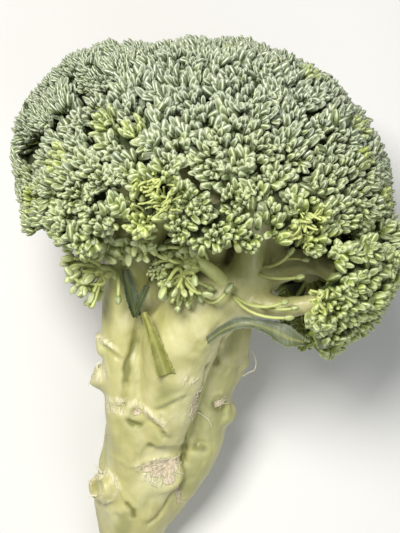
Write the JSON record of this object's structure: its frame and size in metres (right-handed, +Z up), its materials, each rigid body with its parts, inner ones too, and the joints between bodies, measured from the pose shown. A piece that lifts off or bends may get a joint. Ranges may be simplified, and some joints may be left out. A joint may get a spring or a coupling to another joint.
{
  "type": "broccoli head",
  "caption": "Head of broccoli as cut, lying on its side: a thick forked stalk, tight florets of small flower buds, side shoots and a few small leaves.",
  "frame": {"origin": "on the surface that the head lies on, under the middle of its bounding box", "axes": "+Z up; the crown points along +Y and the stalk's cut end along -Y; +X to the right when the crown is away from the viewer"},
  "size_m": [0.1489, 0.2144, 0.137],
  "materials": {
    "stalk": "moist, waxy pale green skin with rough leaf scars",
    "buds": "matt, waxy blue-green flower buds",
    "side_shoots": "satin yellow-green buds and stems",
    "leaves": "waxy blue-green leaf",
    "leaf_stalk": "smooth green leaf stalk"
  },
  "bodies": {
    "root": {"stalk": "stalk", "floret_crown": "buds", "floret_upper_right": "buds", "floret_right": "buds", "floret_low_right": "buds", "floret_front": "buds", "floret_front_right": "buds", "floret_front_low": "buds", "floret_left_front": "buds", "floret_left_low": "buds", "floret_upper_left": "buds", "floret_tip": "buds", "floret_tip_left": "buds", "floret_tip_right": "buds", "floret_side_right": "buds", "floret_side_left": "buds", "floret_back_tip": "buds", "floret_back_right": "buds", "floret_rest_left": "buds", "floret_rest_right": "buds", "floret_back_low": "buds", "sprig_left": "side_shoots", "sprig_front": "side_shoots", "leaf_right": "leaves", "leaf_left": "leaves", "leaf_stalk_cut": "leaf_stalk"}
  },
  "joints": []
}
